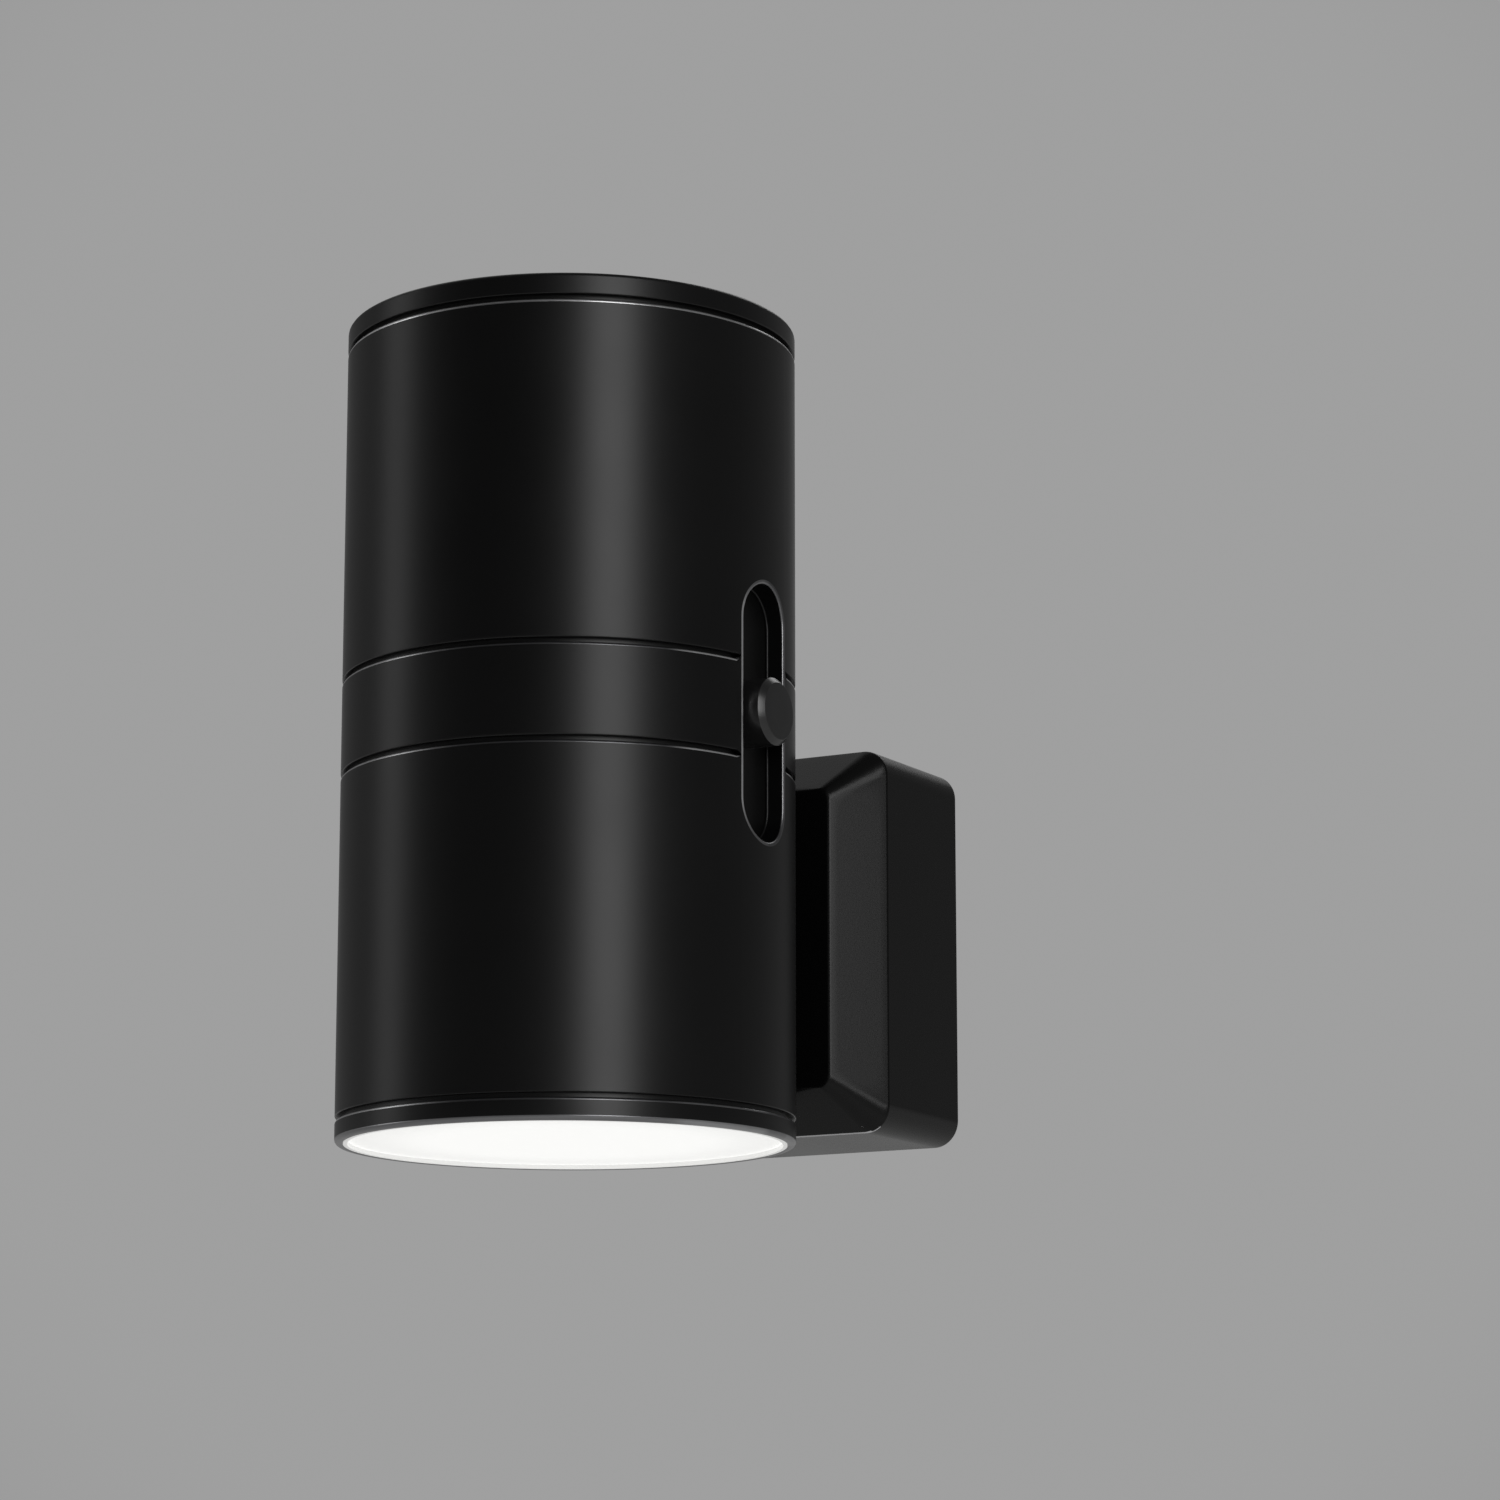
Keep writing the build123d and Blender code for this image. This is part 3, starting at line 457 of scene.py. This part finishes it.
def notched_tube(sheen_on_foot):
    """Upper tube about the head's middle. Its foot has the edge with the painted highlight, or else
    its top.

    The foot's rounding runs out beside the notch, so that the rim of the pocket is unbroken.
    """
    shape = bmesh.new()
    foot_edge = edge_radius if sheen_on_foot else sharp_edge
    top_edge = sharp_edge if sheen_on_foot else top_edge_radius
    rows = []
    for notch_step, foot_step in zip(sheen_edge_steps(slot_edge), sheen_edge_steps(foot_edge)):
        row = round_tube(tube_radius - foot_step[1], tube_start + foot_step[0])
        rows.append(row + notch(notch_step[0], 0, radius=tube_radius - notch_step[1]))
    for (rise, reach), radius in zip(bead_steps, end_radii):
        rows.append(round_tube(radius, tube_start) + notch(-reach, 0, x=pocket_foot + rise))
    under = notch(collar_width, collar_step, x=pocket_foot)
    rows.append(round_tube(tube_bore, tube_start) + under)
    inside = notch(collar_width, 2 * collar_step, radius=tube_bore)
    rows.append(round_tube(tube_bore, tube_start + bore_edge) + inside)
    rows = [[shape.verts.new(point) for point in row] for row in rows]
    beside_notch = range(round_count, len(rows[0]) - 1)
    strips = range(len(rows[0])) if sheen_on_foot else beside_notch
    for step, (here, there) in enumerate(zip(rows, rows[1:])):
        sheen_places = (beside_notch if step == 0 else strips) if step <= edge_count else ()
        bridge(shape, here, there, sheen_places=sheen_places)

    arc_reach = slot_half_width + slot_edge + sheen_width
    crown_turns = [asin(arc_reach * sin(turn) / tube_radius) for turn in arc_turns] + round_turns
    crown = [
        round_tube(tube_radius - depth, tube_end - inset, crown_turns)
        for inset, depth in edge_steps(top_edge)
    ]
    crown.append(round_tube(tube_bore, tube_end, crown_turns))
    crown = [[shape.verts.new(point) for point in row] for row in crown]
    for step, (here, there) in enumerate(zip(crown, crown[1:])):
        sheen_places = range(len(here)) if step < edge_count and not sheen_on_foot else ()
        bridge(shape, here, there, sheen_places=sheen_places)
    for foot, top, radius in ((rows[0], crown[0], tube_radius), (rows[-1], crown[-1], tube_bore)):
        low_corner, *arc_foot, high_corner = foot[round_count:]
        belt = [shape.verts.new(point) for point in round_tube(radius, arc_middle)]
        ring = [high_corner] + foot[:round_count] + [low_corner]
        bridge(shape, ring, [arc_foot[-1]] + belt + [arc_foot[0]], False)
        bridge(shape, arc_foot + belt, top)
    return shape


# A key inside each tube drops into the band's sleeve, and three holes let the plug's screws and
# leads into the lower one.
key_low = Vector((-0.0242, -0.0015, 0.0055))
key_high = Vector((-0.0226, 0.0015, 0.0112))
screw_hole = 0.0017
screw_offset = 0.0065
grommet_hole = 0.00255
lower_holes = ((screw_hole, screw_offset), (screw_hole, -screw_offset), (grommet_hole, 0))
drill_start = -0.034
drill_end = -0.0185
upright = Matrix.Translation(head_middle)
turned_over = upright @ Matrix.Diagonal((1, 1, -1, 1))
head_ends = (("upper", upright), ("lower", turned_over))
for end, place in head_ends:
    shape = notched_tube(sheen_on_foot=end == "lower")
    block(shape, key_low, key_high)
    bores = []
    if end == "lower":
        for radius, z in lower_holes:
            bores.append(drill(radius, (0, drill_start, z), (0, drill_end, z)))
    tube = new_piece(end + "_tube", shape, [shell_black, painted_edge_sheen], place, bores)
    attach(tube, "lamp")
    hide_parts(end + "_housing")


# --- Centre band ------------------------------------------------------------------------
# Plain moulded band that couples the tubes. Its ends are sleeves inside them, a neck at each
# joint leaves the dark groove, and behind the pocket it carries the slide's two rails.
band_half_height = 0.005
neck_radius = 0.0242
ring_bore = 0.0230
sleeve_radius = 0.02335
sleeve_bore = 0.02185
sleeve_start = 0.0054
sleeve_reach = 0.0115
slot_margin = 0.00015
channel_half_width = 0.0053
rail_side = 0.0019
rail_far_side = 0.0105
rail_back = 0.0172
rail_front = 0.0186
cheek_front = 0.0208


def open_ring(shape, outline, side):
    """Ring of this (radius, height) outline, open between -side and +side of +X."""
    columns = []
    for step in range(round_count):
        column = []
        for radius, z in outline:
            start = asin(side / radius)
            turn = start + (tau - 2 * start) * step / (round_count - 1)
            column.append(shape.verts.new((radius * cos(turn), radius * sin(turn), z)))
        columns.append(column)
    for here, there in zip(columns, columns[1:]):
        bridge(shape, here, there)
    for end in (columns[0], columns[-1]):
        shape.faces.new(end)


def band_row(top, bottom, side, corner_radius=None, corner_x=None):
    """Closed row round the band: along its top, down beside the pocket, and back below.

    Its corners reach past the grooves to the tubes, so that the rim of the pocket is unbroken.
    """
    row = []
    for (z, radius), turns, y, corner_z in (
        (top, round_turns, side, tube_start),
        (bottom, round_turns[::-1], -side, -tube_start),
    ):
        corners = [
            (corner_x, part, corner_z) if corner_x else on_tube(corner_radius, part, corner_z)
            for part in (y, -y)
        ]
        row += [corners[0], *round_tube(radius, z, turns), corners[1]]
    return row


shape = bmesh.new()
rows = []
for top, bottom, side in zip(*map(sheen_edge_steps, (edge_radius, sharp_edge, slot_edge))):
    rows.append(
        band_row(
            (band_half_height - top[0], tube_radius - top[1]),
            (bottom[0] - band_half_height, tube_radius - bottom[1]),
            slot_half_width + side[0],
            corner_radius=tube_radius - side[1],
        )
    )
ends = [(rise, -reach, radius) for (rise, reach), radius in zip(bead_steps, end_radii)]
for rise, reach, radius in ends + [(0, 0, ring_bore)]:
    top = (band_half_height, radius)
    bottom = (-band_half_height, radius)
    side = slot_half_width + reach
    rows.append(band_row(top, bottom, side, corner_x=pocket_foot + rise))
rows = [[shape.verts.new(point) for point in row] for row in rows]
half = round_count + 2
beside_slot = [half - 1, len(rows[0]) - 1]
# The band's top edge and the rim of the pocket get the edge finish, a painted highlight.
for step, (here, there) in enumerate(zip(rows, rows[1:])):
    sheen_places = beside_slot if step == 0 else [*range(half - 1), *beside_slot]
    bridge(shape, here, there, sheen_places=sheen_places if step <= edge_count else ())
for row in (rows[0], rows[-1]):
    bridge(shape, row[:half], row[half:][::-1], False)
for bore, radius, low, high, side in (
    (sleeve_bore, neck_radius, -tube_start, tube_start, slot_half_width + slot_margin),
    (sleeve_bore, sleeve_radius, -sleeve_reach, -sleeve_start, channel_half_width),
    (sleeve_bore, sleeve_radius, sleeve_start, sleeve_reach, channel_half_width),
):
    open_ring(shape, [(bore, low), (radius, low), (radius, high), (bore, high)], side)
for side in (-1, 1):
    for near, front in ((channel_half_width, cheek_front), (rail_side, rail_front)):
        left, right = sorted((side * near, side * rail_far_side))
        block(shape, (rail_back, left, -sleeve_reach), (front, right, sleeve_reach))
band = new_piece("centre_ring", shape, [shell_black, painted_edge_sheen])
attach(band, "lamp")
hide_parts("centre_band")


# --- Bezels -----------------------------------------------------------------------------
# Moulded ring that closes each end of the head. It pushes into the tube, leaves a groove like
# the band's, and its thin rim stands round the diffuser.
def turned(shape, outline, segments, sheen_places=()):
    """Turns a (radius, height) outline about Z. It ends on the axis, or else it is a ring."""
    rows = []
    for radius, z in outline:
        count = segments if radius else 1
        turns = [tau * step / count for step in range(count)]
        rows.append([shape.verts.new(point) for point in round_tube(radius, z, turns)])
    if outline[0][0]:
        rows.append(rows[0])
    for step, (here, there) in enumerate(zip(rows, rows[1:])):
        bridge(shape, here, there, sheen_places=range(segments) if step in sheen_places else ())


def corner_arc(radius, z, size, start, end):
    """Rounding of a corner, turned about (radius, z) from one angle to another."""
    turns = [radians(start + (end - start) * step / edge_count) for step in range(edge_count + 1)]
    return [(radius + size * cos(turn), z + size * sin(turn)) for turn in turns]


bezel_start = 0.0431
bezel_face = 0.0455
face_edge = 0.0005
lip_edge = 0.00015
lip_radius = 0.0241
bezel_bore = 0.02215
bezel_shelf = 0.0435
bezel_foot = 0.0386
for end, place in head_ends:
    seam_edge = edge_radius if end == "lower" else sharp_edge
    outline = corner_arc(tube_radius - seam_edge, bezel_start + seam_edge, seam_edge, -90, 0)
    outline += corner_arc(tube_radius - face_edge, bezel_face - face_edge, face_edge, 0, 90)
    outline += corner_arc(lip_radius + lip_edge, bezel_face - lip_edge, lip_edge, 90, 180)
    outline += [(lip_radius, bezel_shelf), (bezel_bore, bezel_shelf)]
    outline += [(bezel_bore, bezel_foot), (sleeve_radius, bezel_foot), (sleeve_radius, tube_end)]
    outline += [(neck_radius, tube_end), (neck_radius, bezel_start)]
    shape = bmesh.new()
    # On the lower ring, the edge beside the groove and the rounding of its mouth get the edge
    # finish, a painted highlight.
    sheen_places = [*range(edge_count), *range(edge_count + 1, 3 * edge_count + 2)]
    turned(shape, outline, 240, sheen_places if end == "lower" else ())
    bezel = new_piece(end + "_ring", shape, [shell_black, painted_edge_sheen], place)
    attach(bezel, "lamp")
    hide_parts(end + "_bezel")


# --- Diffusers --------------------------------------------------------------------------
# Opal acrylic disc dropped into each bezel, with a low rim that lies inside the bezel's. It is
# lit from behind, a little less towards its edge, and less again in the rim.
disc_radius = 0.02405
disc_middle = 0.012
disc_face = 0.0450
rim_top = 0.04545
rim_bore = 0.0236
rim_fade = 0.0001
bright_middle = 0.014
glow_strength = 0.69

opal, nodes, place = new_finish("opal")
x, y = nodes.add("ShaderNodeSeparateXYZ", {}, {0: place})[:2]
from_axis = (x ** 2 + (y - head_middle.y) ** 2) ** 0.5
haze = nodes.noise(place, 2500.0)
# The rim is also given a greyer colour than the disc, as painted shade.
rim = from_axis.rise(rim_bore - rim_fade, rim_bore)
shade = (1 - 0.3 * rim) * (1 - 0.14 * from_axis.rise(bright_middle, rim_bore) - 0.03 * haze)
nodes.surface(
    {
        "Base Color": nodes.blend(rim, (0.93, 0.93, 0.91), (0.6, 0.6, 0.59)),
        "Roughness": 0.38 + 0.06 * haze,
        "Emission Color": nodes.grey(shade, blue=shade * 0.985),
        "Emission Strength": glow_strength,
    }
)

disc_outline = [(0, bezel_shelf), (disc_radius, bezel_shelf), (disc_radius, rim_top)]
disc_outline += [(rim_bore, rim_top), (rim_bore, disc_face), (disc_middle, disc_face)]
disc_outline += [(0, disc_face)]
for end, place in head_ends:
    shape = bmesh.new()
    turned(shape, disc_outline, 192)
    disc = new_piece(end + "_opal_disc", shape, [opal], place)
    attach(disc, "lamp")
    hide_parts(end + "_diffuser")


# --- Light inside each end --------------------------------------------------------------
# White moulded cone and carrier, a white board with yellow chips on a rolled aluminium disc,
# two zinc-plated screws, and two leads with white insulation.
def refinish(finish, *names):
    """Gives pieces of the frame their finish."""
    for name in names:
        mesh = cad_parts[name].data
        mesh.materials.clear()
        mesh.materials.append(finish)


white_moulding = moulded("white_moulding", (0.8, 0.8, 0.79), 0.42, 0.00015, 0.000004)
white_board = moulded("white_board", (0.85, 0.86, 0.85), 0.32, 0.0003, 0.000002)
chip_phosphor = moulded("chip_phosphor", (0.85, 0.62, 0.13), 0.45, 0.0001, 0.00001)
wire = moulded("wire", (0.72, 0.72, 0.71), 0.36, 0.0004, 0.000004)
aluminium = metal("aluminium", (0.8, 0.81, 0.82), 0.34, (0.05, 1, 1))
screw_steel = metal("screw_steel", (0.66, 0.67, 0.69), 0.3, (1, 1, 1))
for end in ("upper", "lower"):
    refinish(white_moulding, end + "_reflector", end + "_led_carrier")
    refinish(white_board, end + "_led_board")
    refinish(chip_phosphor, end + "_leds")
    refinish(aluminium, end + "_heat_plate")
    refinish(screw_steel, end + "_board_screws")
    refinish(wire, end + "_led_leads")


# --- Slide dimmer -----------------------------------------------------------------------
# A round satin knob stands on a flat strip that slides behind the pocket. The strip moves the
# lever of a slide potentiometer in a tinned case, on a green board with two screws.
knob_black = moulded("knob_black", (0.009, 0.009, 0.0093), 0.3, 0.00012, 0.000003, 0.6)
strip_black = moulded("strip_black", (0.002, 0.002, 0.002), 0.45, 0.0002, 0.000006, 0.16)
knob_radius = 0.0037
knob_height = 0.004
knob_bevel = 0.00055
knob_ease = 0.00008
knob_middle = 0.0015
stem_radius = 0.0012
stem_depth = 0.0019
strip_face = Vector((0.0225, 0, 0))
knob_outline = [(0, -stem_depth), (stem_radius, -stem_depth), (stem_radius, 0), (knob_radius, 0)]
for radius, z, start in (
    (knob_radius - knob_ease, knob_height - knob_bevel - knob_ease, 0),
    (knob_radius - knob_bevel - knob_ease, knob_height - knob_ease, 45),
):
    knob_outline += corner_arc(radius, z, knob_ease, start, start + 45)
knob_outline += [(knob_middle, knob_height), (0, knob_height)]
on_strip = Matrix.Translation(head_middle + strip_face) @ Matrix.Rotation(pi / 2, 4, "Y")
shape = bmesh.new()
turned(shape, knob_outline, 96)
knob = new_piece("round_knob", shape, [knob_black], on_strip)
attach(knob, "slide")
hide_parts("slide_knob")
refinish(strip_black, "slide_strip")

dark_moulding = moulded("dark_moulding", (0.03, 0.03, 0.03), 0.4, 0.0002, 0.000004)
tinned_steel = metal("tinned_steel", (0.74, 0.74, 0.73), 0.28, (1, 1, 0.1))


def solder_mask(name, colour, track_colour):
    """Board under a glossy mask, with tracks that show through it as a lighter tone."""
    material, nodes, place = new_finish(name)
    cells = nodes.add(
        "ShaderNodeTexVoronoi",
        {"distance": "CHEBYCHEV", "feature": "F1"},
        {"Vector": place, "Scale": 420.0, "Randomness": 0.75},
    )[0]
    tracks = cells.rise(0.30, 0.34) - cells.rise(0.42, 0.46)
    nodes.surface(
        {
            "Base Color": nodes.blend(tracks, colour, track_colour),
            "Roughness": 0.3 - 0.06 * tracks,
            "Normal": nodes.bump(tracks, 0.00003, 0.5),
        }
    )
    return material


green_board = solder_mask("green_board", (0.02, 0.12, 0.05), (0.05, 0.22, 0.09))
refinish(dark_moulding, "dimmer_lever")
refinish(tinned_steel, "dimmer_body")
refinish(green_board, "control_board", "driver_board")
refinish(screw_steel, "control_board_screws")


# --- Plug body --------------------------------------------------------------------------
# Cover with a bevelled front and a hollow that the tube sits in, closed by a rear plate.
# Both are moulded in black plastic with a fine spark-eroded grain.
weld_distance = 0.000001


def welded(node):
    """Faces of a node of the frame, joined where its loose triangles meet."""
    shape = bmesh.new()
    shape.from_mesh(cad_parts[node].data)
    bmesh.ops.remove_doubles(shape, verts=shape.verts, dist=weld_distance)
    return shape


plug_black = moulded("plug_black", (0.002, 0.002, 0.002), 0.27, 0.00022, 0.000006, 0.2)
shape = welded("plug_cover")
# The rounding between the lower bevel and the underside gets the edge finish, a painted highlight
# line along it. Its faces look mostly down and a little outwards.
for face in shape.faces:
    down, out = -face.normal.z, -face.normal.y
    face.material_index = int(0.75 < down < 0.99 and out > 0.05)
cover = new_piece("bevelled_cover", shape, [plug_black, painted_edge_sheen], Matrix.Identity(4))
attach(cover, "lamp")
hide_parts("plug_cover")


def eased(name, node, finish, width):
    """Copy of a piece of the frame with its corners rounded."""
    shape = welded(node)
    bmesh.ops.dissolve_limit(shape, angle_limit=radians(1), verts=shape.verts, edges=shape.edges)
    piece = from_faces(name, shape)
    piece.data.shade_smooth()
    piece.data.materials.append(finish)
    bevel = piece.modifiers.new("ease", "BEVEL")
    bevel.width = width
    bevel.segments = 3
    bevel.limit_method = "ANGLE"
    bevel.angle_limit = corner_angle
    plain_copy(piece)
    shade_to_corners(piece)
    return piece


rear_plate = eased("rear_plate", "plug_base", plug_black, 0.00025)
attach(rear_plate, "lamp")
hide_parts("plug_base")


# --- Rear screws ------------------------------------------------------------------------
# Four zinc-plated countersunk screws with cross recesses hold the rear plate on the cover.
# They were driven by hand, so no two recesses stand at the same angle.
screw_rim = 0.0025
screw_shank = 0.0013
screw_core = 0.00095
screw_length = 0.010
screw_head = 0.0013
rim_break = 0.0001
thread_start = 0.0018
thread_pitch = 0.0008
point_length = 0.0004
point_radius = 0.0003
arm_reach = 0.00125
arm_half_width = 0.00028
arm_depth = 0.0011
arm_taper = 0.55
drill_over = 0.0002
corners_across = 0.0384
corners_up = 0.0318
recess_seed = 7
screw_outline = [(0, 0), (screw_rim - rim_break, 0), (screw_rim, rim_break)]
screw_outline += [(screw_shank, screw_head)]
crest = thread_start
while crest < screw_length - thread_pitch:
    screw_outline += [(screw_core, crest), (screw_shank, crest + thread_pitch / 2)]
    crest += thread_pitch
screw_outline += [(screw_core, screw_length - point_length), (point_radius, screw_length)]
screw_outline += [(0, screw_length)]

into_plug = Matrix.Rotation(pi / 2, 4, "X")
arms = []
for reach_x, reach_y in ((arm_reach, arm_half_width), (arm_half_width, arm_reach)):
    shape = bmesh.new()
    wide = [(-reach_x, -reach_y), (reach_x, -reach_y), (reach_x, reach_y), (-reach_x, reach_y)]
    mouth = [shape.verts.new((x, y, -drill_over)) for x, y in wide]
    foot = [shape.verts.new((x * arm_taper, y * arm_taper, arm_depth)) for x, y in wide]
    bridge(shape, mouth, foot)
    shape.faces.new(mouth)
    shape.faces.new(foot)
    arms.append(new_piece("recess_arm", shape, [], into_plug))
shape = bmesh.new()
turned(shape, screw_outline, 40)
screws = new_piece("rear_screws", shape, [screw_steel], into_plug, arms)

group = bpy.data.node_groups.new("screws_at_corners", "GeometryNodeTree")
group.interface.new_socket("Screw", in_out="INPUT", socket_type="NodeSocketGeometry")
for label in ("Across", "Up"):
    group.interface.new_socket(label, in_out="INPUT", socket_type="NodeSocketFloat")
group.interface.new_socket("Seed", in_out="INPUT", socket_type="NodeSocketInt")
group.interface.new_socket("Screws", in_out="OUTPUT", socket_type="NodeSocketGeometry")
tree = Nodes(group)
one_screw, across, up, seed = tree.add("NodeGroupInput")[:4]
corners = tree.add(
    "GeometryNodeMeshGrid", {}, {"Size X": across, "Size Y": up, "Vertices X": 2, "Vertices Y": 2}
)[0]
stood = tree.add("GeometryNodeTransform", {}, {"Geometry": corners, "Rotation": (pi / 2, 0, 0)})[0]
angle = tree.add(
    "FunctionNodeRandomValue", {"data_type": "FLOAT"}, {"Max": pi / 2, "Seed": seed}
)[0]
spin = tree.add("ShaderNodeCombineXYZ", {}, {"Y": angle})[0]
placed = tree.add(
    "GeometryNodeInstanceOnPoints", {}, {"Points": stood, "Instance": one_screw, "Rotation": spin}
)[0]
made = tree.add("GeometryNodeRealizeInstances", {}, {"Geometry": placed})[0]
plated = tree.add("GeometryNodeSetMaterial", {}, {"Geometry": made, "Material": screw_steel})[0]
tree.add("NodeGroupOutput", {}, {0: plated})
modifier = screws.modifiers.new("corners", "NODES")
modifier.node_group = group
sockets = {
    item.name: item.identifier for item in group.interface.items_tree if item.in_out == "INPUT"
}
modifier[sockets["Across"]] = corners_across
modifier[sockets["Up"]] = corners_up
modifier[sockets["Seed"]] = recess_seed
plain_copy(screws)
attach(screws, "lamp")
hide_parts("base_screws")


# --- Pins -------------------------------------------------------------------------------
# Two drawn brass pins, black as far as the shoulder by the rear plate, with insulating sleeves,
# and a third pin of moulded plastic that opens the socket's shutters. Their corners are eased.
sleeve_black = moulded("sleeve_black", (0.012, 0.012, 0.012), 0.4, 0.0002, 0.000004)
pin_brass = metal("pin_brass", (0.83, 0.62, 0.27), 0.24, (1, 0.04, 1))
shoulder = 0.0003
for name, node, finish, slot, ease in (
    ("shutter_pin", "earth_pin", plug_black, "plug_black", 0.0002),
    ("live_blade", "live_pin", pin_brass, "pin_brass", 0.0002),
    ("neutral_blade", "neutral_pin", pin_brass, "pin_brass", 0.0002),
    ("blade_sleeves", "pin_sleeves", sleeve_black, "sleeve_black", 0.00005),
):
    pin = eased(name, node, finish, ease)
    if finish is pin_brass:
        pin.data.materials.append(sleeve_black)
        for face in pin.data.polygons:
            face.material_index = int(face.center.y < shoulder)
    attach(pin, "lamp")
    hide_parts(node)


# --- Mains driver -----------------------------------------------------------------------
# Small switching supply on a green board: ferrite transformer and choke, two capacitors in
# shrunk sleeves, a coated fusible resistor, and two parts in black epoxy.
ferrite = moulded("ferrite", (0.06, 0.055, 0.05), 0.55, 0.0003, 0.00002)
capacitor_sleeve = moulded("capacitor_sleeve", (0.02, 0.03, 0.09), 0.22, 0.0006, 0.000004)
resistor_coat = moulded("resistor_coat", (0.1, 0.27, 0.33), 0.6, 0.0002, 0.00002)
package_black = moulded("package_black", (0.02, 0.02, 0.02), 0.5, 0.00012, 0.000006)
rubber = moulded("rubber", (0.02, 0.02, 0.02), 0.7, 0.0003, 0.00001)
refinish(ferrite, "transformer", "filter_choke")
refinish(capacitor_sleeve, "smoothing_capacitor", "output_capacitor")
refinish(resistor_coat, "fusible_resistor")
refinish(package_black, "bridge_rectifier", "driver_chip")
refinish(rubber, "lead_grommet")
refinish(wire, "supply_leads")
refinish(screw_steel, "driver_board_screws", "head_screws")
